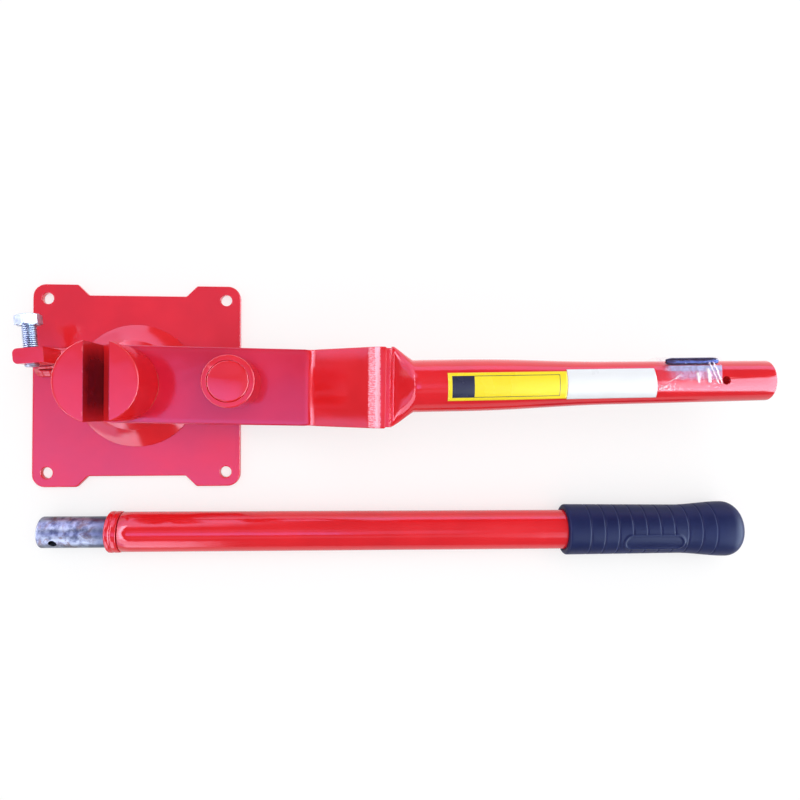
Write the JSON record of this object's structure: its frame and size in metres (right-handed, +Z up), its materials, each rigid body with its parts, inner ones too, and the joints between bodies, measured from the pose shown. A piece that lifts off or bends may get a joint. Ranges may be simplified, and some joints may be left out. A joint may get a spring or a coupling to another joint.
{
  "type": "rebar bender",
  "caption": "Bench rebar bender: a square bolt-down plate carries a slotted bending head, a swinging cranked lever with a roller, an adjustable stop bolt and a loose extension handle.",
  "frame": {"origin": "middle of the base plate's underside, straight below the pivot of the lever", "axes": "+X runs from the pivot along the lever, +Y towards the far side of the base, +Z up along the pivot"},
  "size_m": [0.6492, 0.2505, 0.1127],
  "materials": {
    "red_enamel": "glossy enamel",
    "bright_zinc": "bright zinc",
    "bare_steel": "bare oiled steel",
    "blued_steel": "blued spring steel",
    "bearing_bronze": "satin bronze",
    "grip_navy": "moulded grip, satin",
    "foil_yellow": "foil label, blank",
    "foil_white": "foil label, blank",
    "film_clear": "clear adhesive film"
  },
  "bodies": {
    "base": {"base_plate": "red_enamel", "pedestal": "red_enamel", "spindle": "bare_steel", "lower_thrust_washer": "bearing_bronze", "upper_thrust_washer": "bearing_bronze", "bending_head": "red_enamel", "stop_foot": "red_enamel", "stop_foot_weld": "red_enamel", "stop_lug": "red_enamel", "stop_lug_weld": "red_enamel"},
    "bolt": {"stop_bolt": "bright_zinc"},
    "lever": {"lever_bar": "red_enamel", "hub_sleeve": "red_enamel", "hub_bush": "bearing_bronze", "hub_weld": "red_enamel", "roller_pin": "red_enamel", "roller_pin_weld": "red_enamel", "roller_retaining_ring": "bare_steel", "lever_weld": "red_enamel", "lever_tube": "red_enamel", "label_yellow": "foil_yellow", "label_white": "foil_white", "spare_pin": "blued_steel", "clear_film": "film_clear"},
    "roller": {"roller_sleeve": "red_enamel"},
    "handle": {"handle_spigot": "bare_steel", "handle_weld": "red_enamel", "handle_tube": "red_enamel", "handle_grip": "grip_navy"}
  },
  "joints": [
    {"name": "lever_swing", "type": "hinge", "parent": "base", "child": "lever", "pos_m": [0, 0, 0.047], "axis": [0, 0, 1], "range_deg": [-148, 110]},
    {"name": "roller_spin", "type": "hinge", "parent": "lever", "child": "roller", "pos_m": [0.09683, 0.00081, 0.073], "axis": [0, 0, 1], "continuous": true},
    {"name": "stop_bolt_travel", "type": "slide", "parent": "base", "child": "bolt", "axis": [0.0924, -0.9957, 0], "range_m": [-0.01, 0.012]},
    {"name": "handle_lift", "type": "slide", "parent": "base", "child": "handle", "axis": [0, 0, 1], "range_m": [0, 0.12]}
  ]
}
